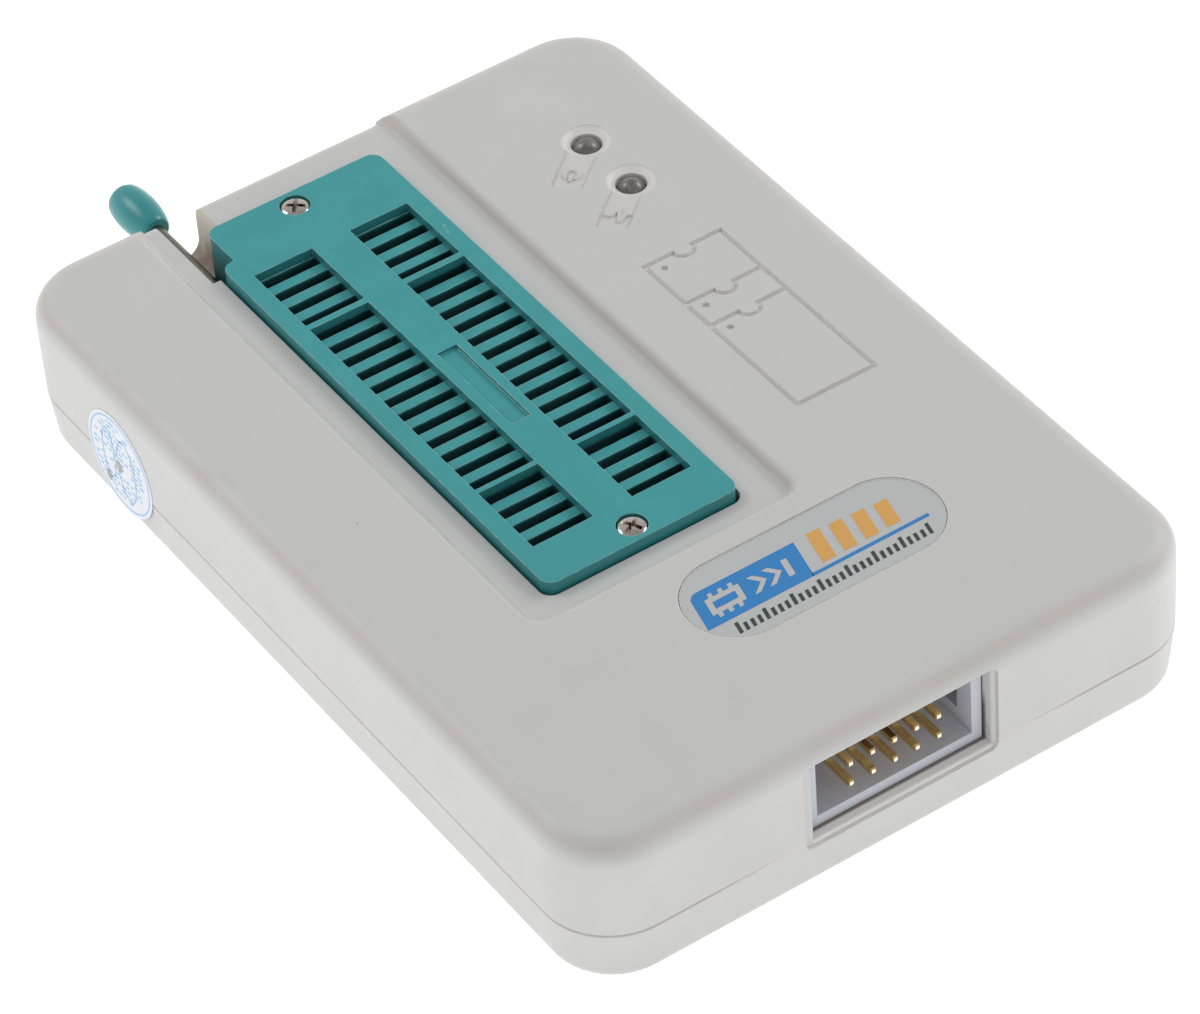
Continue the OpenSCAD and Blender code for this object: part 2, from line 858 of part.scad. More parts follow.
module zif_cover_screws() {
    z = cover_top - cover_screw_sink;
    color(steel) at_socket() at_cover_screws() difference() {
        union() {
            translate([0, 0, z]) cylinder(h = cover_screw_head_h, r = cover_screw_head_r);
            translate([0, 0, cover_screw_tip_z])
                cylinder(h = z - cover_screw_tip_z + eps, r = cover_screw_r);
        }
        cross_recess(z + cover_screw_head_h, cover_screw_head_r);
    }
}

module zif_lever() {
    color(steel) translate([socket_x, axis_y, axis_z]) {
        // plain lengths of the shaft, either side of the two crank journals
        inner = comb_arm_x - journal_w / 2;
        outer = comb_arm_x + journal_w / 2;
        along_x(-arm_offset, -outer, wire_r);
        along_x(-inner, inner, wire_r);
        along_x(outer, shaft_right, wire_r);
        for (side = [-1, 1])
            translate([side * comb_arm_x, crank, crank]) along_x(-journal_w / 2, journal_w / 2, wire_r);
        translate([-arm_offset, 0, 0]) {
            sphere(wire_r);
            rotate([-90, 0, 0])
                cylinder(h = knob_start + knob_len * knob_grip - axis_y, r = wire_r);
        }
    }
}

// radius of the knob at a place between 0 at the lever end and 1 at the tip
function knob_radius(t) = knob_r * (knob_neck + (knob_tip - knob_neck) * t
    + knob_bulge * pow(sin(180 * pow(t, knob_skew)), knob_roundness));

module lever_knob() {
    steps = 20;
    color(teal) translate([arm_x, knob_start, axis_z]) rotate([-90, 0, 0]) difference() {
        rotate_extrude() polygon(concat([[0, 0]],
            [for (k = [0:steps]) [knob_radius(k / steps), knob_len * k / steps]],
            [[0, knob_len]]));
        translate([0, 0, -over]) cylinder(h = knob_len * knob_grip + over, r = wire_r);
    }
}

// ---- header ----

// distance of item k of a centred row of n from the middle
function centred(k, n, step) = (k - (n - 1) / 2) * step;

module at_header_pins() {
    for (k = [0:header_columns - 1], row = [0, 1])
        translate([centred(k, header_columns, pitch), pin_first_tail + row * pitch, 0]) children();
}

module header_shroud() {
    back = header_mouth + header_depth;
    color(lilac) difference() {
        box([-header_w / 2, header_mouth, pcb_top], [header_w / 2, back, pcb_top + header_h]);
        box([-header_inner_w / 2, header_mouth - over, header_z - header_inner_h / 2],
            [header_inner_w / 2, header_mouth + header_cavity, header_z + header_inner_h / 2]);
        box([-header_key_w / 2, header_mouth - over, header_z],
            [header_key_w / 2, header_mouth + header_key_l, case_h]);
        box([-header_w, header_mouth + header_slot_front, header_slot_z],
            [header_w, header_mouth + header_slot_back, header_z + header_inner_h / 2]);
        for (k = [0:header_columns - 1], row = [-1, 1])
            translate([centred(k, header_columns, pitch), back, header_z + row * pitch / 2])
                cube([pin_w, header_depth, pin_w], center = true);
    }
}

// side view of one bent pin: y runs from the tip to the tail, z from the tail up
module pin_side(z, tail_y) {
    h = pin_w / 2;
    bevel_y = pin_tip + 2 * pin_bevel;
    polygon([[pin_tip, z - h + pin_bevel], [bevel_y, z - h], [tail_y - h, z - h],
        [tail_y - h, pin_tail_z], [tail_y + h, pin_tail_z], [tail_y + h, z + h],
        [bevel_y, z + h], [pin_tip, z + h - pin_bevel]]);
}

// the same pin from above
module pin_plan(tail_y) {
    h = pin_w / 2;
    bevel_y = pin_tip + 2 * pin_bevel;
    polygon([[-h + pin_bevel, pin_tip], [-h, bevel_y], [-h, tail_y + h],
        [h, tail_y + h], [h, bevel_y], [h - pin_bevel, pin_tip]]);
}

module header_pins() {
    color(gold) for (k = [0:header_columns - 1], row = [0, 1]) {
        tail_y = pin_first_tail + row * pitch;
        z = header_z + (row - 0.5) * pitch;
        translate([centred(k, header_columns, pitch), 0, 0]) intersection() {
            translate([-pin_w / 2, 0, 0]) rotate([90, 0, 90])
                linear_extrude(pin_w) pin_side(z, tail_y);
            linear_extrude(case_h) pin_plan(tail_y);
        }
    }
}

// ---- badge, lights, sticker ----

module badge_plate() {
    l = badge_l - 2 * badge_rim;
    color(badge_silver) translate([badge_x, badge_y, case_h - badge_depth])
        linear_extrude(badge_t) rounded_rect(badge_w - 2 * badge_rim, l, l / 2 - eps);
}

module led_body() {
    translate([0, 0, led_base_z]) cylinder(h = led_flange_h, r = led_flange_r);
    translate([0, 0, led_base_z]) cylinder(h = led_top - led_r - led_base_z, r = led_r);
    translate([0, 0, led_top - led_r]) sphere(led_r);
}

module power_led() {
    color(lens_grey) at_leds_each(0) led_body();
}

module status_led() {
    color(lens_grey) at_leds_each(1) led_body();
}

module led_leads() {
    h = led_lead_w / 2;
    color(tin) at_leds() for (side = [-1, 1]) translate([side * pitch / 2, 0, 0])
        box([-h, -h, pin_tail_z], [h, h, led_base_z]);
}

module seal_sticker() {
    color(pale_blue) translate([-case_w / 2, sticker_y, sticker_z])
        along_x(-sticker_t, 0, sticker_r);
}

// ---- rear port ----

// mouth of the port, wide at the top with sloping lower corners
module usb_outline(inset) {
    w = usb_w / 2 - inset;
    low = w - usb_corner_w;
    knee = usb_corner_h + inset / 2;
    polygon([[-low, inset], [low, inset], [w, knee], [w, usb_h - inset],
        [-w, usb_h - inset], [-w, knee]]);
}

// extrudes a mouth outline from the port's back end towards its mouth
module usb_prism(y0, y1, inset) {
    translate([usb_x, usb_mouth - usb_depth + y1, pcb_top]) rotate([90, 0, 0])
        linear_extrude(y1 - y0) usb_outline(inset);
}

module usb_shell() {
    color(steel) difference() {
        usb_prism(0, usb_depth, 0);
        usb_prism(usb_shell_t, usb_depth + over, usb_shell_t);
    }
}

module usb_insulator() {
    start = usb_mouth - usb_depth + usb_block;
    z = pcb_top + usb_tongue_z;
    color(dark_plastic) {
        usb_prism(usb_shell_t, usb_block, usb_shell_t);
        box([usb_x - usb_tongue_w / 2, start - eps, z],
            [usb_x + usb_tongue_w / 2, usb_mouth - usb_tongue_setback, z + usb_tongue_t]);
    }
}

module usb_contacts() {
    start = usb_mouth - usb_depth + usb_block;
    z = pcb_top + usb_tongue_z;
    color(gold) for (k = [0:usb_contacts_n - 1])
        translate([usb_x + centred(k, usb_contacts_n, usb_pitch), 0, 0])
            box([-usb_contact_w / 2, start, z - usb_contact_t],
                [usb_contact_w / 2, usb_mouth - usb_contact_setback, z]);
}

// ---- electronics ----

module place(xy, z = pcb_top) {
    translate([xy[0], xy[1], z]) children();
}

module controller_chip() {
    color(dark_plastic) place(controller_place, pcb_top + chip_gap) difference() {
        linear_extrude(controller_h) square(controller_w, center = true);
        translate([-controller_mark_in, controller_mark_in, controller_h - controller_mark_depth])
            cylinder(h = over, r = controller_mark_r);
    }
}

// a flat foot on the board, joined to the chip's side by an upright
module gull_lead(w) {
    box([-eps, -w / 2, lead_z], [lead_knee, w / 2, lead_z + lead_t]);
    box([lead_knee - lead_t, -w / 2, 0], [lead_knee, w / 2, lead_z + lead_t]);
    box([lead_knee - lead_t, -w / 2, 0], [lead_reach, w / 2, lead_t]);
}

// a row of leads down one side, the side being at distance x from the centre
module lead_row(x, count, step, w) {
    for (k = [0:count - 1]) translate([x, centred(k, count, step), 0]) gull_lead(w);
}

module controller_leads() {
    color(tin) place(controller_place) for (side = [0:3]) rotate(90 * side)
        lead_row(controller_w / 2 + eps, controller_leads_side, controller_lead_pitch,
            controller_lead_w);
}

module driver_chips() {
    color(dark_plastic) for (xy = driver_places) place(xy, pcb_top + chip_gap) difference() {
        linear_extrude(driver_h) square([driver_w, driver_l], center = true);
        translate([0, driver_l / 2, driver_h])
            cylinder(h = 2 * driver_notch_depth, r = driver_notch_r, center = true);
    }
}

module driver_leads() {
    color(tin) for (xy = driver_places) place(xy) for (side = [0, 180]) rotate(side)
        lead_row(driver_w / 2 + eps, driver_leads_side, driver_lead_pitch, driver_lead_w);
}

module crystal() {
    color(steel) place(crystal_place) {
        linear_extrude(crystal_flange_h) rounded_rect(crystal_w + 2 * crystal_flange,
            crystal_l + 2 * crystal_flange, crystal_r + crystal_flange);
        linear_extrude(crystal_h) rounded_rect(crystal_w, crystal_l, crystal_r);
    }
}

module inductor_core() {
    color(ferrite_grey) place(inductor_place) {
        cylinder(h = inductor_h, r = inductor_core_r);
        for (z = [0, inductor_h - inductor_flange_h])
            translate([0, 0, z]) cylinder(h = inductor_flange_h, r = inductor_r);
    }
}

module inductor_coil() {
    h = inductor_h - 2 * inductor_flange_h;
    color(copper) place(inductor_place, pcb_top + inductor_flange_h) difference() {
        cylinder(h = h, r = inductor_coil_r);
        translate([0, 0, -over]) cylinder(h = h + 2 * over, r = inductor_core_r);
    }
}

module capacitor_bases() {
    color(dark_plastic) for (xy = capacitor_places) place(xy)
        linear_extrude(capacitor_base_h) square(capacitor_base_w, center = true);
}

module capacitor_cans() {
    color(steel) for (xy = capacitor_places) place(xy, pcb_top + capacitor_base_h)
        cylinder(h = capacitor_h, r = capacitor_r);
}

module regulator() {
    color(dark_plastic) place(regulator_place)
        linear_extrude(regulator_size[2]) square([regulator_size[0], regulator_size[1]], center = true);
}

module chip_resistors() {
    color(dark_plastic) for (k = [0:resistor_columns - 1], row = [0, 1])
        place(resistor_start + [k * resistor_step[0], row * resistor_step[1]])
            linear_extrude(resistor_size[2]) square([resistor_size[0], resistor_size[1]], center = true);
}

upper_shell();
lower_shell();
case_screws();
main_board();
zif_base();
zif_comb();
zif_cover();
zif_contacts();
zif_cover_screws();
zif_lever();
lever_knob();
header_shroud();
header_pins();
badge_plate();
power_led();
status_led();
led_leads();
usb_shell();
usb_insulator();
usb_contacts();
controller_chip();
controller_leads();
driver_chips();
driver_leads();
crystal();
inductor_core();
inductor_coil();
capacitor_cans();
capacitor_bases();
regulator();
chip_resistors();
seal_sticker();
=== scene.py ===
"""Materials, small printed and metal pieces, light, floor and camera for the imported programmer."""
import json
import math
import random

import bmesh
import bpy
from mathutils import Matrix, Quaternion, Vector


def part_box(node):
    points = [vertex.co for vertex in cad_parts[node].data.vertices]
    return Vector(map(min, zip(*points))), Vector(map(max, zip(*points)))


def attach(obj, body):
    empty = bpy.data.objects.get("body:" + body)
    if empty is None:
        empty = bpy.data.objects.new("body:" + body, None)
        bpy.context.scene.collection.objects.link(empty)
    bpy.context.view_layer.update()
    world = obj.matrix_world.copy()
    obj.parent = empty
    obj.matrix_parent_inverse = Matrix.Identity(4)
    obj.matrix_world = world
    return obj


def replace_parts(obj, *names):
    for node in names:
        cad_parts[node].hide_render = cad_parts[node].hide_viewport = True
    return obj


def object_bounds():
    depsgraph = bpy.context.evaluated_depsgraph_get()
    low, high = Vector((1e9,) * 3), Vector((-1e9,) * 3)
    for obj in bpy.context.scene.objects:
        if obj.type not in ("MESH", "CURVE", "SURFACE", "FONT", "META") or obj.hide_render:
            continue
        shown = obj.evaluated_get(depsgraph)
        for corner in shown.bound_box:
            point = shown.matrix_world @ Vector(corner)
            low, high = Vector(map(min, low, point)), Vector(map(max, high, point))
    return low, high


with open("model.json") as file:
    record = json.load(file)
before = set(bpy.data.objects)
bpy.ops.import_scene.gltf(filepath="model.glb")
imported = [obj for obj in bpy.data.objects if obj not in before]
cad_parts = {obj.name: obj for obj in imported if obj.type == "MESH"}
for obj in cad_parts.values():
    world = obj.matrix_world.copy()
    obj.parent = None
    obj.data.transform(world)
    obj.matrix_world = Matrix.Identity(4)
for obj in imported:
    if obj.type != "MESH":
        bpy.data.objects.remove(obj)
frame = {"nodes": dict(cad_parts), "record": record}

MM = 0.001
cad_low, cad_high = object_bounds()
case_low, case_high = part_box("upper_shell")

# ---- places on the part, in mm ----

CASE_TOP = case_high.z / MM
CASE_HALF_W = case_high.x / MM
CASE_HALF_L = case_high.y / MM
COVER_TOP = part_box("zif_cover")[1].z / MM
COMB_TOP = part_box("zif_comb")[1].z / MM
# the wall of the trough beside the lever, and its lower corner
NOTCH_WALL = (-13.5, 49.0, 13.0)
NOTCH_FOOT = (-13.5, 49.4, 10.6)
# the recess round the socket: its right wall, its front edge, and a height below its floor
RECESS_RIGHT = 10.6
RECESS_FRONT = -23.0
RECESS_FOOT = 15.0
# the strip of the top that has the light dishes and the chip outlines
MARKS_X = 22.0
MARKS_HALF_W = 9.0
MARKS_HALF_L = 45.0
# the middle of the lower lip of the header's opening, and a height just over the opening
shroud_low, shroud_high = (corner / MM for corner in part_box("header_shroud"))
PORT_LIP = ((shroud_low.x + shroud_high.x) / 2, case_low.y / MM + 1.0, shroud_low.z - 1.2)
PORT_ROOF = 16.1


# ---- camera ----

# The camera looks at this point of the top face, in mm from the case's centre.
LOOK_AT = Vector((-7.11, -12.7))
VIEW_DISTANCE = 549.0
VIEW_AZIMUTH = -31.26
VIEW_ELEVATION = 42.61
VIEW_ROLL = -4.58
FOCAL_LENGTH = 172.16
SENSOR_WIDTH = 36.0


def make_camera():
    """The camera of the photograph, fixed by its direction, distance, roll and focal length."""
    azimuth, elevation = math.radians(VIEW_AZIMUTH), math.radians(VIEW_ELEVATION)
    back = Vector((math.sin(azimuth) * math.cos(elevation),
                   -math.cos(azimuth) * math.cos(elevation), math.sin(elevation)))
    target = Vector((LOOK_AT.x * MM, LOOK_AT.y * MM, case_high.z))
    data = bpy.data.cameras.new("camera")
    data.lens, data.sensor_width = FOCAL_LENGTH, SENSOR_WIDTH
    data.clip_start, data.clip_end = 0.05, 20
    camera = bpy.data.objects.new("camera", data)
    camera.location = target + back * VIEW_DISTANCE * MM
    camera.rotation_mode = "QUATERNION"
    roll = Quaternion((0, 0, 1), math.radians(VIEW_ROLL))
    camera.rotation_quaternion = (-back).to_track_quat("-Z", "Y") @ roll
    bpy.context.scene.collection.objects.link(camera)
    bpy.context.scene.camera = camera


# ---- node helpers ----

class Shader:
    """A Principled material under construction. Sizes are in mm, from the object's own coordinates."""

    def __init__(self, name, colour, roughness, metallic=0.0):
        self.material = bpy.data.materials.new(name)
        self.material.use_nodes = True
        self.tree = self.material.node_tree
        self.surface = self.tree.nodes["Principled BSDF"]
        self.surface.inputs["Metallic"].default_value = metallic
        self.colour = self.rgb(colour)
        self.roughness = roughness
        self.normal = None
        place = self.node("ShaderNodeTexCoord").outputs["Object"]
        self.place = self.vector("SCALE", place, Scale=1 / MM)

    def node(self, kind, inputs=None, **settings):
        made = self.tree.nodes.new(kind)
        for key, value in settings.items():
            setattr(made, key, value)
        for key, value in (inputs or {}).items():
            self.feed(made.inputs[key], value)
        return made

    def feed(self, socket, value):
        if isinstance(value, bpy.types.NodeSocket):
            self.tree.links.new(value, socket)
        elif value is not None:
            socket.default_value = value

    def rgb(self, colour):
        made = self.node("ShaderNodeRGB")
        made.outputs[0].default_value = (*colour, 1)
        return made.outputs[0]

    def vector(self, operation, a, b=None, **named):
        made = self.node("ShaderNodeVectorMath", operation=operation)
        self.feed(made.inputs[0], a)
        self.feed(made.inputs[1], b)
        for key, value in named.items():
            self.feed(made.inputs[key], value)
        return made.outputs["Value" if operation == "DOT_PRODUCT" else "Vector"]

    def maths(self, operation, a, b=None, clamp=False):
        made = self.node("ShaderNodeMath", operation=operation, use_clamp=clamp)
        self.feed(made.inputs[0], a)
        self.feed(made.inputs[1], b)
        return made.outputs[0]

    def product(self, *values):
        """Multiplies any number of values together."""
        total = values[0]
        for value in values[1:]:
            total = self.maths("MULTIPLY", total, value)
        return total

    def spread(self, value, low, high, to_low=0.0, to_high=1.0):
        """Maps low..high of a value to to_low..to_high, held at the ends."""
        made = self.node("ShaderNodeMapRange", {
            "Value": value, "From Min": low, "From Max": high, "To Min": to_low, "To Max": to_high})
        return made.outputs["Result"]

    def mix(self, share, a, b):
        made = self.node("ShaderNodeMix", data_type="RGBA")
        for index, value in ((0, share), (6, a), (7, b)):
            self.feed(made.inputs[index], value)
        return made.outputs[2]

    def noise(self, size, detail=2.0, stretch=(1, 1, 1), offset=0.0):
        """Noise from 0 to 1 whose blobs are about size mm across."""
        place = self.vector("MULTIPLY", self.place, stretch)
        place = self.vector("ADD", place, (offset, offset, offset))
        made = self.node("ShaderNodeTexNoise", {
            "Vector": place, "Scale": 1 / size, "Detail": detail, "Roughness": 0.55})
        return made.outputs["Fac"]

    def along(self, axis):
        """Place in mm along an axis."""
        return self.node("ShaderNodeSeparateXYZ", {"Vector": self.place}).outputs[axis]

    def beside(self, axis, place=0.0):
        """Distance in mm from the plane at a place along an axis."""
        return self.maths("ABSOLUTE", self.maths("SUBTRACT", self.along(axis), place))

    def near(self, point, inner, outer, squash=(1, 1, 1)):
        """1 within inner mm of a point, 0 beyond outer mm; squash below 1 reaches further on an axis."""
        gap = self.vector("MULTIPLY", self.vector("SUBTRACT", self.place, point), squash)
        length = self.node("ShaderNodeVectorMath", {0: gap}, operation="LENGTH")
        return self.spread(length.outputs["Value"], outer, inner)

    def facing(self, direction):
        """1 where the surface faces a direction squarely, 0 where it is side on to it."""
        normal = self.node("ShaderNodeNewGeometry").outputs["Normal"]
        return self.vector("DOT_PRODUCT", normal, direction)

    def soften_edges(self, radius):
        """Rounds edges of up to radius mm in the shading, and returns how near an edge each point is."""
        made = self.node("ShaderNodeBevel", {"Radius": radius * MM}, samples=6)
        self.normal = made.outputs[0]
        return self.spread(self.facing(self.normal), 0.995, 0.82)

    def bump(self, height, depth):
        """Adds relief of depth mm from a 0 to 1 height."""
        made = self.node("ShaderNodeBump", {
            "Height": height, "Distance": depth * MM, "Normal": self.normal})
        self.normal = made.outputs[0]

    def tint(self, share, colour):
        self.colour = self.mix(share, self.colour, (*colour, 1))

    def blotch(self, size, low, high, share, colour, detail=4.0):
        """Tints blotches about size mm across, where the noise rises from low to high."""
        self.tint(self.spread(self.noise(size, detail), low, high, 0.0, share), colour)

    def speckle(self, spacing, radius, share, colour):
        """Tints small round specks about spacing mm apart; radius is a share of the spacing."""
        cells = self.node("ShaderNodeTexVoronoi", {"Vector": self.place, "Scale": 1 / spacing})
        self.tint(self.spread(cells.outputs["Distance"], radius, radius * 0.6, 0.0, share), colour)

    def vary_roughness(self, low, high, size=2.2, detail=4.0, offset=7.0):
        """Lets the roughness wander from low to high in patches about size mm across."""
        patches = self.noise(size, detail, offset=offset)
        self.roughness = self.spread(patches, 0.3, 0.7, low, high)

    def finish(self, **inputs):
        self.feed(self.surface.inputs["Base Color"], self.colour)
        self.feed(self.surface.inputs["Roughness"], self.roughness)
        self.feed(self.surface.inputs["Normal"], self.normal)
        for key, value in inputs.items():
            self.feed(self.surface.inputs[key.replace("_", " ").title()], value)
        return self.material


def scaled(colour, share):
    """A colour made darker or lighter by a share."""
    return tuple(c * share for c in colour)


# ---- metals ----

def metal(name, colour, roughness, scratch=(1, 1, 1), depth=0.003, edge=0.06):
    """Plated or drawn metal: fine scratches along one direction and patchy roughness."""
    shader = Shader(name, colour, roughness, metallic=1.0)
    shader.soften_edges(edge)
    shader.blotch(0.9, 0.4, 0.75, 0.5, scaled(colour, 0.72))
    shader.vary_roughness(roughness - 0.07, roughness + 0.1, size=0.35, detail=3.0, offset=3.0)
    shader.bump(shader.noise(0.08, stretch=scratch), depth)
    return shader.finish()


def worn_screw():
    """Bright screw head, darker and browner lower down and in its cross."""
    shader = Shader("cover_screw", (0.70, 0.66, 0.61), 0.12, metallic=1.0)
    shader.soften_edges(0.04)
    shader.blotch(0.6, 0.4, 0.7, 0.6, (0.42, 0.36, 0.30))
    # darker and browner from just under the cover's top down over the head's rim and into its cross
    depth = shader.spread(shader.along("Z"), COVER_TOP - 0.2, COVER_TOP - 0.5, 0.0, 0.85)
    shader.tint(depth, (0.16, 0.11, 0.07))
    shader.bump(shader.noise(0.3, 3.0), 0.004)
    return shader.finish()


def pin_gold():
    """Gold plate on drawn pins, with a painted highlight on the cut ends that face the front."""
    shader = Shader("pin_gold", (0.92, 0.64, 0.24), 0.14, metallic=1.0)
    shader.soften_edges(0.02)
    shader.blotch(0.5, 0.4, 0.7, 0.6, (0.55, 0.34, 0.12))
    # painted highlight: the front-facing cut ends made pale yellow, as if they caught the light
    shader.tint(shader.spread(shader.facing((0, -1, 0)), 0.6, 0.9), (1.0, 0.93, 0.74))
    shader.bump(shader.noise(0.08, stretch=(6, 0.6, 6)), 0.0006)
    return shader.finish()


def coil_copper():
    """Enamelled copper wire, wound in level turns."""
    shader = Shader("coil_copper", (0.62, 0.25, 0.10), 0.25, metallic=1.0)
    turns = shader.node("ShaderNodeTexWave", {
        "Vector": shader.place, "Scale": 1.1}, bands_direction="Z")
    shader.bump(turns.outputs["Fac"], 0.08)
    return shader.finish()


# ---- the case's plastic ----

CASE_COLOUR = (0.64, 0.64, 0.63)
FILLET_TAN = (0.60, 0.50, 0.44)
RECESS_SHADE = (0.55, 0.48, 0.43)
NOTCH_PAINTED_LIGHT = (0.80, 0.72, 0.63)
CORNER_BROWN = (0.20, 0.12, 0.06)
SPECK = (0.35, 0.26, 0.18)
GAP_SHADE = (0.13, 0.09, 0.07)
PALE_FLOOR = (0.80, 0.78, 0.75)
SLOPE_HIGHLIGHT = (0.96, 0.95, 0.93)
LIP_PAINTED_LIGHT = (0.93, 0.91, 0.89)
EDGE_HIGHLIGHT = (0.90, 0.89, 0.87)


def tan_fillets(shader, upward):
    """Tans the outer edge of the top, where it rounds over."""
    steep_side = shader.spread(upward, 0.45, 0.70)
    level_side = shader.spread(upward, 0.97, 0.88)
    patches = shader.spread(shader.noise(7.0, 3.0), 0.3, 0.6, 0.5, 1.0)
    outer = [shader.spread(shader.beside(axis), half - 3.7, half - 2.5)
             for axis, half in (("X", CASE_HALF_W), ("Y", CASE_HALF_L))]
    band = shader.product(steep_side, level_side, patches, shader.maths("MAXIMUM", *outer))
    shader.tint(shader.product(band, 0.4), FILLET_TAN)


def light_notch_and_brown_corner(shader, upward):
    """Paints light onto the trough's wall beside the lever in a pale ivory, and darkens its lower corner
    brown.
    """
    upright = shader.spread(upward, 0.75, 0.4)
    # painted light: the upright wall beside the lever made pale ivory
    shader.tint(shader.product(shader.near(NOTCH_WALL, 5.0, 8.5), upright), NOTCH_PAINTED_LIGHT)
    # darkened brown in patches towards the trough's lower corner
    patches = shader.spread(shader.noise(0.9), 0.2, 0.6, 0.5, 1.0)
    dark_corner = shader.product(shader.near(NOTCH_FOOT, 1.2, 5.4), patches, 0.9)
    shader.tint(dark_corner, CORNER_BROWN)


def shade_recess_wall(shader, upward):
    """Paints a tan shade onto the rounded wall on the right of the recess round the socket."""
    curved = shader.spread(upward, 0.985, 0.90)
    beside_wall = shader.spread(shader.beside("X", RECESS_RIGHT), 2.4, 1.6)
    over_foot = shader.spread(shader.along("Z"), RECESS_FOOT, RECESS_FOOT + 0.2)
    behind_front = shader.spread(shader.along("Y"), RECESS_FRONT - 2.4, RECESS_FRONT - 1.6)
    brow = shader.product(curved, beside_wall, over_foot, behind_front)
    # painted shade, tan, on the recess's rounded right wall
    shader.tint(shader.product(brow, 0.5), RECESS_SHADE)


def pale_marks(shader, upward):
    """Makes the dishes, tails and outlines sunk in the top paler, and paints a highlight on their slopes."""
    sunk = shader.spread(shader.along("Z"), CASE_TOP - 0.02, CASE_TOP - 0.15)
    across = shader.spread(shader.beside("X", MARKS_X), MARKS_HALF_W + 0.3, MARKS_HALF_W)
    lengthwise = shader.spread(shader.beside("Y"), MARKS_HALF_L + 1, MARKS_HALF_L)
    marks = shader.product(sunk, across, lengthwise)
    shader.tint(shader.product(marks, 0.2), PALE_FLOOR)
    # painted highlight on the slopes of the sunk marks
    sloped = shader.spread(upward, 0.98, 0.85)
    shader.tint(shader.product(marks, sloped, 0.4), SLOPE_HIGHLIGHT)


def shade_port(shader, upward):
    """Paints light onto the lip of the header's opening and paints shade into the gap round the shroud."""
    # painted light on the lower lip of the opening
    lip = shader.product(shader.near(PORT_LIP, 2.6, 3.4, (0.12, 1, 1)), shader.spread(upward, 0.1, 0.5))
    shader.tint(shader.product(lip, 0.85), LIP_PAINTED_LIGHT)
    # painted shade in the gap round the shroud, behind the lip and under the opening's roof
    behind_lip = shader.spread(shader.along("Y"), PORT_LIP[1] + 0.35, PORT_LIP[1] + 0.6)
    around = shader.near(PORT_LIP, 13.0, 14.0, (1.15, 1, 1))
    below_roof = shader.spread(shader.along("Z"), PORT_ROOF + 0.2, PORT_ROOF)
    shader.tint(shader.product(behind_lip, around, below_roof, 0.85), GAP_SHADE)


def case_plastic():
    """Light grey moulding with tints, painted light and shade, a painted highlight on its edges and a few
    specks.
    """
    shader = Shader("case", CASE_COLOUR, 0.46)
    near_edge = shader.soften_edges(0.14)
    upward = shader.facing((0, 0, 1))
    shader.blotch(9.0, 0.35, 0.75, 0.7, scaled(CASE_COLOUR, 0.94))
    light_notch_and_brown_corner(shader, upward)
    tan_fillets(shader, upward)
    shade_recess_wall(shader, upward)
    pale_marks(shader, upward)
    shade_port(shader, upward)
    # painted highlight along the case's edges
    shader.tint(shader.product(near_edge, 0.5), EDGE_HIGHLIGHT)
    shader.speckle(7.0, 0.02, 0.7, SPECK)
    shader.vary_roughness(0.42, 0.51)
    shader.bump(shader.noise(0.16, 3.0), 0.004)
    return shader.finish()


# ---- other plastics, board and prints ----

TEAL = (0.049, 0.36, 0.38)
TEAL_SIDE_SHADE = (0.012, 0.09, 0.095)
TEAL_DEPTH_SHADE = (0.008, 0.036, 0.038)
TEAL_WEAR_AND_HIGHLIGHT = (0.55, 0.82, 0.79)
TEAL_SCUFF = (0.55, 0.75, 0.74)
TEAL_CHIP = (0.75, 0.88, 0.87)
COPPER_TRACK = (0.03, 0.20, 0.09)


def moulded(name, colour, roughness, grain=0.16, grain_depth=0.004, edge=0.15, mottle=0.03,
            edge_tint=None, edge_share=0.3):
    """Moulded plastic: a fine even grain, slow changes of shade, softened and slightly worn edges."""
    shader = Shader(name, colour, roughness)
    near_edge = shader.soften_edges(edge)
    shader.blotch(9.0, 0.35, 0.75, 0.8, scaled(colour, 1 - mottle * 2.5))
    if edge_tint:
        worn = shader.spread(shader.noise(1.6, 5.0), 0.4, 0.65, 0.25, 1.0)
        shader.tint(shader.product(near_edge, worn, edge_share), edge_tint)
    shader.vary_roughness(roughness - 0.04, roughness + 0.05)
    shader.bump(shader.noise(grain, 3.0), grain_depth)
    return shader.finish()


def socket_teal(name, deep_from, deep_to, share):
    """Teal moulding with pale edges, partly wear and partly a painted highlight, scuffs and chips, painted
    shade on its upright sides and painted shade from one height down to another.
    """
    shader = Shader(name, TEAL, 0.36)
    near_edge = shader.soften_edges(0.13)
    shader.blotch(6.0, 0.35, 0.75, 0.7, scaled(TEAL, 0.88))
    # painted shade on the upright sides
    upright = shader.spread(shader.facing((0, 0, 1)), 0.5, 0.2, 0.0, 0.45)
    shader.tint(upright, TEAL_SIDE_SHADE)
    # pale edges: partly wear, partly a painted highlight
    worn = shader.spread(shader.noise(1.3, 5.0), 0.38, 0.62, 0.25, 1.0)
    shader.tint(shader.product(near_edge, worn), TEAL_WEAR_AND_HIGHLIGHT)
    scuffs = shader.noise(2.6, 6.0, stretch=(1.0, 0.35, 1.0), offset=11.0)
    shader.tint(shader.spread(scuffs, 0.74, 0.78, 0.0, 0.45), TEAL_SCUFF)
    shader.speckle(6.0, 0.024, 0.9, TEAL_CHIP)
    # painted shade, deepening from deep_from down to deep_to
    depth_shade = shader.spread(shader.along("Z"), deep_from, deep_to, 0.0, share)
    shader.tint(depth_shade, TEAL_DEPTH_SHADE)
    shader.vary_roughness(0.31, 0.42)
    shader.bump(shader.noise(0.4, 3.0), 0.003)
    return shader.finish()


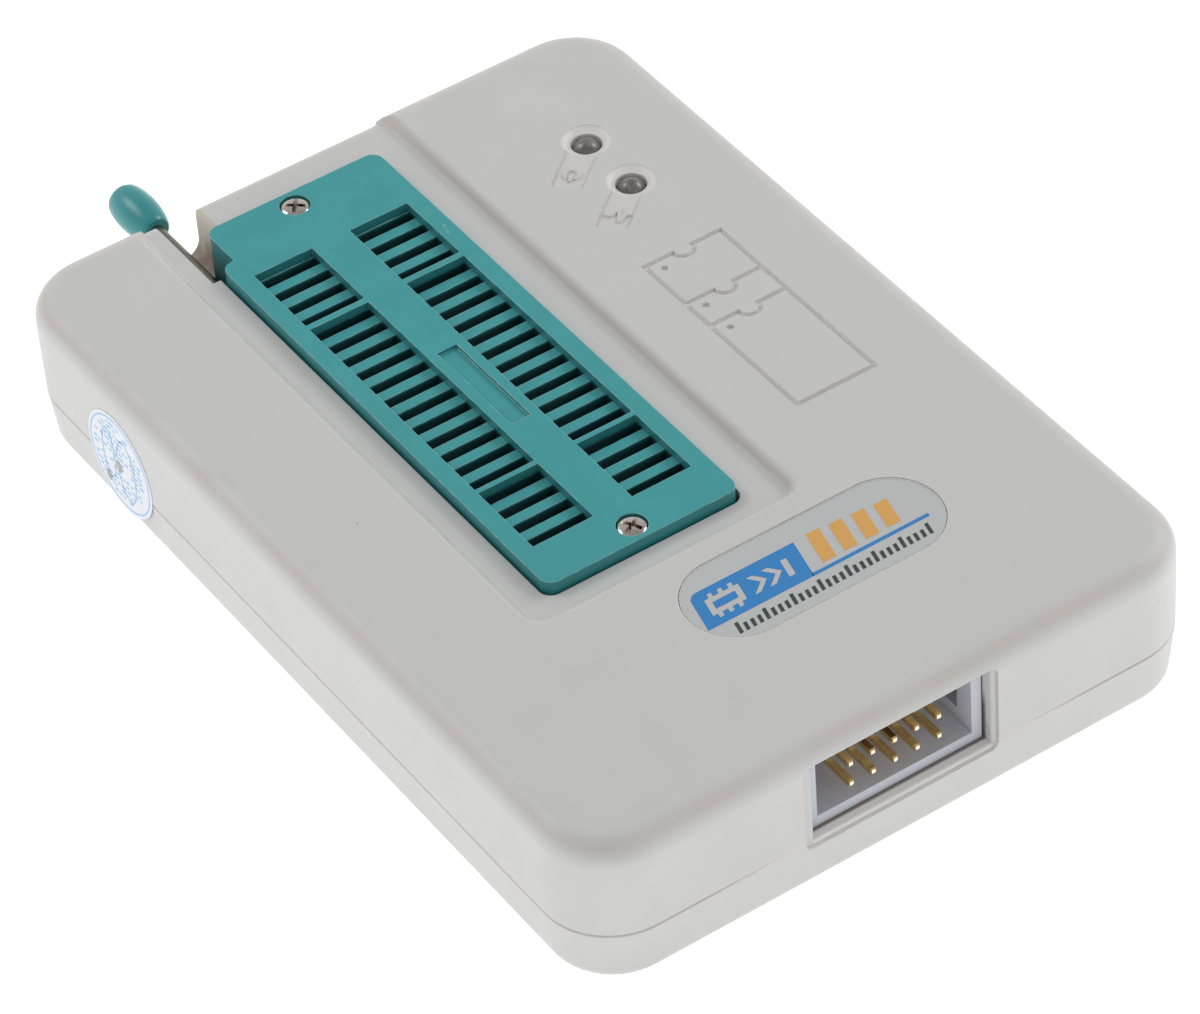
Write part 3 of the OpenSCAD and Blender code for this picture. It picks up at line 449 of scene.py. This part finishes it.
def board_mask():
    """Green solder mask over faint copper tracks."""
    shader = Shader("board", (0.012, 0.10, 0.045), 0.3)
    tracks = shader.node("ShaderNodeTexBrick", {
        "Vector": shader.place, "Scale": 0.35, "Mortar Size": 0.06, "Color1": (0, 0, 0, 1),
        "Color2": (0.3, 0.3, 0.3, 1), "Mortar": (1, 1, 1, 1)}).outputs["Color"]
    shader.tint(shader.product(tracks, 0.6), COPPER_TRACK)
    shader.bump(tracks, 0.02)
    return shader.finish(coat_weight=0.4)


def lens_plastic():
    """Smoked diffusing lens over a paler die cup."""
    shader = Shader("led_lens", (0.12, 0.117, 0.108), 0.34)
    shader.blotch(0.8, 0.45, 0.65, 0.6, (0.26, 0.25, 0.24), detail=3.0)
    return shader.finish(coat_weight=0.5, coat_roughness=0.22)


def paper():
    """Thin printed paper, fibrous and slightly creased."""
    shader = Shader("sticker_paper", (0.84, 0.86, 0.89), 0.55)
    shader.blotch(0.5, 0.4, 0.7, 0.6, (0.70, 0.79, 0.88), detail=5.0)
    shader.bump(shader.noise(2.5, 4.0), 0.05)
    return shader.finish()


def ink(name, colour, wear=0.12, base=(0.62, 0.64, 0.65)):
    """Printed ink that lets a little of its ground through."""
    shader = Shader(name, colour, 0.32)
    shader.blotch(0.25, 0.55, 0.8, wear * 2, base)
    return shader.finish(coat_weight=0.5, coat_roughness=0.12)


def label_film():
    """Silver-grey printed film under a clear gloss, warmer in patches."""
    shader = Shader("badge", (0.55, 0.565, 0.57), 0.28)
    shader.soften_edges(0.12)
    shader.blotch(6.0, 0.35, 0.7, 0.6, (0.57, 0.56, 0.55), detail=3.0)
    return shader.finish(coat_weight=0.7, coat_roughness=0.08)


# ---- materials by name ----

def make_materials():
    """Every material of the part, by name."""
    return {
        "case": case_plastic(),
        "socket_plastic": socket_teal("socket_plastic", COVER_TOP - 1.2, COVER_TOP - 4.0, 0.45),
        "comb_teal": socket_teal("comb_teal", COMB_TOP - 0.03, COMB_TOP - 0.4, 0.85),
        "header_plastic": moulded("header_plastic", (0.62, 0.64, 0.71), 0.38, grain=0.3, grain_depth=0.002),
        "contact_gold": metal("contact_gold", (0.95, 0.70, 0.28), 0.12, depth=0.0006, edge=0.02),
        "pin_gold": pin_gold(),
        "cover_screw": worn_screw(),
        "screw_steel": metal("screw_steel", (0.66, 0.62, 0.57), 0.14, depth=0.0008, edge=0.05),
        # the lever's steel is painted dark olive for the shade it lies in
        "lever_steel": metal("lever_steel", (0.26, 0.25, 0.20), 0.3, scratch=(6, 0.6, 6)),
        "port_steel": metal("port_steel", (0.66, 0.67, 0.68), 0.26),
        "tinned_lead": metal("tinned_lead", (0.62, 0.62, 0.60), 0.3),
        "can_metal": metal("can_metal", (0.68, 0.68, 0.67), 0.3),
        "coil_copper": coil_copper(),
        "board": board_mask(),
        "black_plastic": moulded("black_plastic", (0.025, 0.025, 0.027), 0.5, grain=0.1),
        "badge": label_film(),
        "led_lens": lens_plastic(),
        "sticker": paper(),
        "shaded_teal": moulded("shaded_teal", scaled(TEAL, 0.12), 0.5, mottle=0.06),
        "knob_teal": moulded("knob_teal", scaled(TEAL, 0.82), 0.30, grain=0.5, grain_depth=0.006,
                             mottle=0.05, edge_tint=(0.35, 0.55, 0.54), edge_share=0.2),
        "badge_blue": ink("badge_blue", (0.014, 0.23, 0.60), wear=0.04),
        "badge_orange": ink("badge_orange", (0.76, 0.40, 0.09)),
        "badge_black": ink("badge_black", (0.03, 0.035, 0.035)),
        "film_edge": moulded("film_edge", (0.72, 0.72, 0.70), 0.3),
        "sticker_ink": ink("sticker_ink", (0.20, 0.48, 0.86), base=(0.80, 0.84, 0.90)),
        "sticker_dot": ink("sticker_dot", (0.30, 0.27, 0.26), base=(0.45, 0.42, 0.40)),
    }


def dress(piece, material):
    """Gives a piece one material and no other."""
    piece.data.materials.clear()
    piece.data.materials.append(material)


def dress_frame(materials):
    """Gives each CAD node the material of its slot in the record."""
    for subpart in frame["record"]["subparts"]:
        dress(frame["nodes"][subpart["node"]], materials[subpart["material_slot"]])
    dress(frame["nodes"]["zif_base"], materials["shaded_teal"])
    dress(frame["nodes"]["zif_comb"], materials["comb_teal"])
    dress(frame["nodes"]["header_pins"], materials["pin_gold"])
    dress(frame["nodes"]["lever_knob"], materials["knob_teal"])


# ---- printed and turned pieces ----

# Sizes are in mm. PRINT is how thick printed signs are, and the slant is a share of their height.
PRINT = 0.02
BADGE_SLANT = 0.22
# the blue panel, its rounded corner, and its distance from the badge's left and front edges
PANEL_W, PANEL_H = 12.2, 4.95
PANEL_CORNER_R = 0.9
PANEL_LEFT, PANEL_FOOT = 0.65, 3.35
# the signs left open in the blue panel, from its lower left corner: a chip, two chevrons and a stop
CHIP_LEFT, CHIP_LIFT, CHIP_W, CHIP_H = 1.2, 1.35, 3.9, 2.25
SIGN_LIFT, SIGN_H = 1.3, 2.35
CHEVRON_LEFT, CHEVRON_PITCH, CHEVRON_STROKE = 6.0, 1.75, 0.75
STOP_LEFT, STOP_W = 10.0, 0.7
# the blue line that runs on from the panel to a gap before the badge's right edge
LINE_H, LINE_GAP = 0.42, 2.3
# the orange bars and the scale's ticks, from the panel's left edge
BARS, BARS_LEFT, BAR_PITCH, BAR_W, BAR_H = 4, 13.7, 2.55, 1.55, 4.15
TICKS, TICKS_LEFT, TICK_PITCH, TICK_W, TICK_H, LONG_TICK_H = 29, 2.6, 0.79, 0.4, 1.05, 1.5
FILM_EDGE_W = 0.15
# the seal's rim lines, as shares of its radius
SEAL_RIMS = (0.94, 0.91)
# the two tall rings and the two dots on the seal, each from its centre: x, y and half its size
SEAL_RINGS = ((1.2, -0.3, 1.75, 4.1), (1.2, -0.3, 1.6, 3.95), (-2.1, 0.3, 1.2, 3.4), (-2.1, 0.3, 1.06, 3.26))
SEAL_DOTS = ((-0.25, -0.45, 0.55, 0.68), (-2.75, -3.3, 0.5, 0.66))
# rows of dashes on the seal; the reach is a share of its radius, and the share is how many are printed
DASH_ROWS, DASH_FIRST_ROW, DASH_PITCH = 15, -4.6, 0.66
DASH_REACH, DASH_SHARE = 0.82, 0.78


def add_piece(name, mesh, material, matrix=None):
    """Puts a mesh made in mm into the scene as a piece of the case's body."""
    if matrix:
        mesh.transform(matrix)
    mesh.transform(Matrix.Scale(MM, 4))
    piece = bpy.data.objects.new(name, mesh)
    bpy.context.scene.collection.objects.link(piece)
    dress(piece, material)
    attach(piece, "programmer")
    return piece


def flat_mesh(name, outlines, thickness):
    """A flat plate from closed outlines, in mm; an outline inside another is a hole in it."""
    curve = bpy.data.curves.new(name, "CURVE")
    curve.dimensions, curve.fill_mode, curve.extrude = "2D", "BOTH", thickness / 2
    for outline in outlines:
        spline = curve.splines.new("POLY")
        spline.points.add(len(outline) - 1)
        for point, (x, y) in zip(spline.points, outline):
            point.co = (x, y, 0, 1)
        spline.use_cyclic_u = True
    carrier = bpy.data.objects.new(name, curve)
    mesh = bpy.data.meshes.new_from_object(carrier)
    bpy.data.objects.remove(carrier)
    bpy.data.curves.remove(curve)
    shape = bmesh.new()
    shape.from_mesh(mesh)
    bmesh.ops.remove_doubles(shape, verts=shape.verts, dist=1e-4)
    bmesh.ops.recalc_face_normals(shape, faces=shape.faces)
    shape.to_mesh(mesh)
    shape.free()
    mesh.materials.clear()
    return mesh


def rectangle(x, y, w, h):
    """Outline of a rectangle from its lower left corner."""
    return [(x, y), (x + w, y), (x + w, y + h), (x, y + h)]


def ring_points(x, y, rx, ry=None, steps=48):
    """Outline of a circle or an ellipse round x, y."""
    ry = ry or rx
    turn = 2 * math.pi / steps
    return [(x + rx * math.cos(turn * k), y + ry * math.sin(turn * k)) for k in range(steps)]


def stadium(x, y, w, h, steps=16):
    """Outline of a rounded-end plate centred on x, y."""
    points = []
    for k in range(2 * steps + 2):
        end = 1 if k <= steps else -1
        angle = math.pi * (k - (k > steps)) / steps - math.pi / 2
        points.append((x + end * (w - h) / 2 + h / 2 * math.cos(angle), y + h / 2 * math.sin(angle)))
    return points


def chevron(x, y, size, weight):
    """Outline of an arrowhead that points right, from its lower left corner."""
    return [(x, y), (x + weight, y), (x + weight + size / 2, y + size / 2), (x + weight, y + size),
            (x, y + size), (x + size / 2, y + size / 2)]


def chip_sign(x, y, w, h):
    """A chip seen from above: a body with three legs on each long side, and its empty middle."""
    leg_w, leg_l = w * 0.13, h * 0.24
    starts = [x + w * share for share in (0.14, 0.435, 0.73)]
    outline = [(x, y)]
    for left in starts:
        right = left + leg_w
        outline += [(left, y), (left, y - leg_l), (right, y - leg_l), (right, y)]
    top = y + h
    outline += [(x + w, y), (x + w, top)]
    for left in reversed(starts):
        right = left + leg_w
        outline += [(right, top), (right, top + leg_l), (left, top + leg_l), (left, top)]
    outline.append((x, top))
    inner = w * 0.17
    return [outline, rectangle(x + inner, y + inner, w - 2 * inner, h - 2 * inner)]


def slanted(outlines, foot_y):
    """Leans outlines to the right over a foot line, as italic print does."""
    return [[(x + BADGE_SLANT * (y - foot_y), y) for x, y in outline] for outline in outlines]


def blue_panel(left, foot):
    """The badge's blue panel with one rounded corner, and the signs left open in it."""
    top, r = foot + PANEL_H, PANEL_CORNER_R
    quarter = [math.pi / 2 * (1 - k / 8) for k in range(9)]
    corner = [(left + r - r * math.sin(a), top - r + r * math.cos(a)) for a in quarter]
    panel = [(left, foot)] + corner + [(left + PANEL_W, top), (left + PANEL_W, foot)]
    signs = chip_sign(left + CHIP_LEFT, foot + CHIP_LIFT, CHIP_W, CHIP_H)
    chevrons_left = left + CHEVRON_LEFT
    signs += [chevron(chevrons_left + CHEVRON_PITCH * k, foot + SIGN_LIFT, SIGN_H, CHEVRON_STROKE)
              for k in range(2)]
    signs.append(rectangle(left + STOP_LEFT, foot + SIGN_LIFT, STOP_W, SIGN_H))
    return [panel] + signs


def make_badge_print(materials):
    """Plain signs printed on the badge: a chip and arrows on blue, orange bars, a line and a scale."""
    low, high = (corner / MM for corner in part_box("badge_plate"))
    left, foot = low.x + PANEL_LEFT, low.y + PANEL_FOOT
    lift = Matrix.Translation((0, 0, high.z + PRINT / 2))
    line_start = left + PANEL_W - 0.1
    line = rectangle(line_start, foot - 0.02, high.x - line_start - LINE_GAP, LINE_H)
    bars = [rectangle(left + BARS_LEFT + BAR_PITCH * k, foot + 0.95 + 0.05 * k, BAR_W, BAR_H - 0.25 * k)
            for k in range(BARS)]
    heights = [TICK_H if k % 4 else LONG_TICK_H for k in range(TICKS)]
    ticks = [rectangle(left + TICKS_LEFT + TICK_PITCH * k, foot - 2.15, TICK_W, height)
             for k, height in enumerate(heights)]
    for name, outlines, material in (("badge_blue_panel", blue_panel(left, foot), "badge_blue"),
                                     ("badge_blue_line", [line], "badge_blue"),
                                     ("badge_orange_bars", bars, "badge_orange"),
                                     ("badge_scale", ticks, "badge_black")):
        mesh = flat_mesh(name, slanted(outlines, foot), PRINT)
        add_piece(name, mesh, materials[material], lift)


def make_badge_edge(materials):
    """The cut edge of the badge's clear film, a fine raised line round the plate."""
    low, high = (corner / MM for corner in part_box("badge_plate"))
    w, h = high.x - low.x, high.y - low.y
    x, y = (low.x + high.x) / 2, (low.y + high.y) / 2
    outlines = [stadium(x, y, w, h), stadium(x, y, w - 2 * FILM_EDGE_W, h - 2 * FILM_EDGE_W)]
    mesh = flat_mesh("badge_edge", outlines, PRINT)
    lift = Matrix.Translation((0, 0, high.z + PRINT / 2))
    add_piece("badge_edge", mesh, materials["film_edge"], lift)


def seal_dashes(radius):
    """Rows of dashes of uneven length that stand for the small print on the seal."""
    dice = random.Random(7)
    dashes = []
    for row in range(DASH_ROWS):
        y = DASH_FIRST_ROW + DASH_PITCH * row
        reach = math.sqrt(max(0.0, (radius * DASH_REACH) ** 2 - y * y))
        x = -reach
        while x < reach - 0.7:
            length = dice.uniform(0.3, 0.9)
            if dice.random() < DASH_SHARE and x + length < reach:
                dashes.append(rectangle(x, y, length, dice.uniform(0.14, 0.32)))
            x += length + dice.uniform(0.2, 0.45)
    return dashes


def make_sticker(materials):
    """A paper seal over the seam, with plain rings and dashes printed on it and two dark dots."""
    low, high = (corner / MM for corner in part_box("seal_sticker"))
    radius = (high.y - low.y) / 2
    centre = Vector((low.x, (low.y + high.y) / 2, (low.z + high.z) / 2))
    # turns the flat outlines to face the left side of the case
    facing = Matrix(((0, 0, -1, 0), (-1, 0, 0, 0), (0, 1, 0, 0), (0, 0, 0, 1)))

    def put(name, outlines, material, outer, thickness=PRINT):
        place = Matrix.Translation(centre + Vector((outer + thickness / 2, 0, 0))) @ facing
        mesh = flat_mesh(name, outlines, thickness)
        return add_piece(name, mesh, materials[material], place)

    paper_t = high.x - low.x - 2 * PRINT
    disc = put("sticker_paper", [ring_points(0, 0, radius, steps=96)], "sticker", 2 * PRINT, paper_t)
    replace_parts(disc, "seal_sticker")
    rims = [ring_points(0, 0, radius * share, steps=72) for share in SEAL_RIMS]
    put("sticker_rim_print", rims, "sticker_ink", PRINT)
    put("sticker_ring_print", [ring_points(*ring) for ring in SEAL_RINGS], "sticker_ink", PRINT)
    put("sticker_dashes", seal_dashes(radius), "sticker_ink", PRINT)
    put("sticker_dots", [ring_points(*dot, steps=24) for dot in SEAL_DOTS], "sticker_dot", 0.0)


def lathe(profile, steps=64):
    """Spins a profile of (radius, height) points in mm into a closed bmesh."""
    shape = bmesh.new()
    loops = []
    for radius, height in profile:
        if radius == 0:
            loops.append([shape.verts.new((0, 0, height))] * steps)
            continue
        ring = ring_points(0, 0, radius, steps=steps)
        loops.append([shape.verts.new((x, y, height)) for x, y in ring])
    for low, high in zip(loops, loops[1:]):
        for k in range(steps):
            corners = [low[k], low[(k + 1) % steps], high[(k + 1) % steps], high[k]]
            shape.faces.new(list(dict.fromkeys(corners)))
    bmesh.ops.recalc_face_normals(shape, faces=shape.faces)
    return shape


# corners of a box's faces, with corners 0 to 3 round the bottom and 4 to 7 round the top
BOX_FACES = ((0, 3, 2, 1), (4, 5, 6, 7), (0, 1, 5, 4), (1, 2, 6, 5), (2, 3, 7, 6), (3, 0, 4, 7))


def driver_cross(radius, top, depth):
    """The tapered cross of a driver's tip, from depth below the top to as far above it."""
    shape = bmesh.new()
    bottom, over = top - depth, top + depth
    wide, narrow = radius * 0.78, radius * 0.30
    half = radius * 0.15
    for turn in (0.0, math.pi / 2):
        corners = []
        for z, reach in ((bottom, narrow), (over, 2 * wide - narrow)):
            for x, y in rectangle(-reach, -half, 2 * reach, 2 * half):
                corners.append(shape.verts.new((x * math.cos(turn) - y * math.sin(turn),
                                                x * math.sin(turn) + y * math.cos(turn), z)))
        for face in BOX_FACES:
            shape.faces.new([corners[i] for i in face])
    return shape


def bmesh_to(name, shape):
    """Turns a bmesh into a mesh and frees it."""
    mesh = bpy.data.meshes.new(name)
    shape.to_mesh(mesh)
    shape.free()
    return mesh


def carve(body, cutter):
    """Takes one mesh away from another, both in mm, and returns the result."""
    pair = []
    for mesh in (body, cutter):
        carrier = bpy.data.objects.new(mesh.name, mesh)
        bpy.context.scene.collection.objects.link(carrier)
        pair.append(carrier)
    cut = pair[0].modifiers.new("cut", "BOOLEAN")
    cut.operation, cut.solver, cut.object, cut.use_self = "DIFFERENCE", "EXACT", pair[1], True
    graph = bpy.context.evaluated_depsgraph_get()
    result = bpy.data.meshes.new_from_object(pair[0].evaluated_get(graph))
    for carrier in pair:
        bpy.data.objects.remove(carrier)
    return result


COVER_SCREW = {"head_h": 0.9, "rise": 0.3, "shank_r": 1.0}
CASE_SCREW = {"head_h": 1.5, "rise": 0.5, "shank_r": 1.25}
CASE_SCREW_HEAD_R = 2.4


def screw_mesh(name, head_r, head_h, rise, shank_r, tip_z, face_z, turn):
    """A domed pan head with a cross recess on a plain shank; rise is the dome's height over the rim."""
    under = face_z - head_h
    rim = face_z - rise
    slopes = [math.pi / 2 * k / 10 for k in range(10)]
    dome = [(head_r * math.cos(a), rim + rise * math.sin(a)) for a in slopes]
    profile = [(0, tip_z), (shank_r * 0.5, tip_z), (shank_r, tip_z + shank_r * 0.8), (shank_r, under),
               (head_r * 0.96, under), (head_r, under + 0.08)] + dome + [(0, face_z)]
    body = bmesh_to(name, lathe(profile))
    cutter = bmesh_to(name + "_cut", driver_cross(head_r, face_z, head_h * 0.75))
    cutter.transform(Matrix.Rotation(turn, 4, "Z"))
    mesh = carve(body, cutter)
    for polygon in mesh.polygons:
        polygon.use_smooth = True
    mesh.set_sharp_from_angle(angle=math.radians(35))
    return mesh


def make_cover_screws(materials):
    """Two domed screws in place of the plain ones in the socket cover."""
    node = "zif_cover_screws"
    low, high = (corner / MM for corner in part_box(node))
    head_r = (high.x - low.x) / 2
    x = (low.x + high.x) / 2
    for k, y in enumerate((low.y + head_r, high.y - head_r)):
        name = f"cover_screw_{k + 1}"
        mesh = screw_mesh(name, head_r, **COVER_SCREW, tip_z=low.z, face_z=high.z, turn=0.5 + 0.4 * k)
        place = Matrix.Translation((x, y, 0))
        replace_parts(add_piece(name, mesh, materials["cover_screw"], place), node)


def make_case_screws(materials):
    """Four domed screws, facing down, in place of the plain ones under the case."""
    node = "case_screws"
    low, high = (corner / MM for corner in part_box(node))
    head_r = CASE_SCREW_HEAD_R
    places = [(x, y) for x in (low.x + head_r, high.x - head_r) for y in (low.y + head_r, high.y - head_r)]
    for k, (x, y) in enumerate(places):
        name = f"case_screw_{k + 1}"
        mesh = screw_mesh(name, head_r, **CASE_SCREW, tip_z=-high.z, face_z=-low.z, turn=0.3 + 0.5 * k)
        place = Matrix.Translation((x, y, 0)) @ Matrix.Rotation(math.pi, 4, "X")
        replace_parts(add_piece(name, mesh, materials["screw_steel"], place), node)


# ---- light, floor ----

FLOOR_SIZE = 6.0
LIGHT_DISTANCE = 0.8
# each light's power in W, its side in m, and the direction that it stands in
LIGHTS = {
    "back_box": (1.35, 0.3, (-0.32, 0.62, 0.71)),
    "right_box": (1.6, 0.3, (0.785, -0.04, 0.62)),
    "front_box": (0.3, 0.2, (0.10, -0.86, 0.50)),
}


def area_light(name, power, size, towards):
    """A soft square light that shines on the case from a direction."""
    data = bpy.data.lights.new(name, "AREA")
    data.shape, data.size, data.energy = "SQUARE", size, power
    light = bpy.data.objects.new(name, data)
    direction = Vector(towards).normalized()
    light.location = direction * LIGHT_DISTANCE
    light.rotation_mode = "QUATERNION"
    light.rotation_quaternion = (-direction).to_track_quat("-Z", "Y")
    bpy.context.scene.collection.objects.link(light)


def make_world():
    """A light tent: bright walls near the horizon, a dimmer ceiling and a slightly dimmer front."""
    world = bpy.data.worlds.new("tent")
    world.use_nodes = True
    bpy.context.scene.world = world
    tree = world.node_tree
    background = tree.nodes["Background"]
    background.inputs["Color"].default_value = (1, 1, 1, 1)
    place = tree.nodes.new("ShaderNodeTexCoord")
    split = tree.nodes.new("ShaderNodeSeparateXYZ")
    tree.links.new(place.outputs["Generated"], split.inputs[0])
    strength = tree.nodes.new("ShaderNodeMath")
    strength.operation = "MULTIPLY"
    tree.links.new(strength.outputs[0], background.inputs["Strength"])
    fades = (("Z", 0.1, 0.9, 0.9, 0.35), ("Y", -0.2, -1.0, 1.0, 0.74))
    for factor, (axis, *ends) in zip(strength.inputs, fades):
        fade = tree.nodes.new("ShaderNodeMapRange")
        for key, value in zip(("From Min", "From Max", "To Min", "To Max"), ends):
            fade.inputs[key].default_value = value
        tree.links.new(split.outputs[axis], fade.inputs["Value"])
        tree.links.new(fade.outputs["Result"], factor)


def make_floor():
    """A white floor that glows a little, so that it stays pale round the case's shadow."""
    mesh = bpy.data.meshes.new("floor")
    half = FLOOR_SIZE / 2
    corners = [(x, y, 0) for x, y in rectangle(-half, -half, FLOOR_SIZE, FLOOR_SIZE)]
    mesh.from_pydata(corners, [], [(0, 1, 2, 3)])
    floor = bpy.data.objects.new("floor", mesh)
    floor.location.z = cad_low.z
    bpy.context.scene.collection.objects.link(floor)
    shader = Shader("floor", (0.9, 0.9, 0.9), 0.9)
    shader.finish(emission_color=(1, 1, 1, 1), emission_strength=0.55)
    dress(floor, shader.material)


make_camera()
materials = make_materials()
dress_frame(materials)
make_badge_print(materials)
make_badge_edge(materials)
make_sticker(materials)
make_cover_screws(materials)
make_case_screws(materials)
make_world()
make_floor()
for name, settings in LIGHTS.items():
    area_light(name, *settings)
bpy.context.scene.view_settings.view_transform = "Standard"
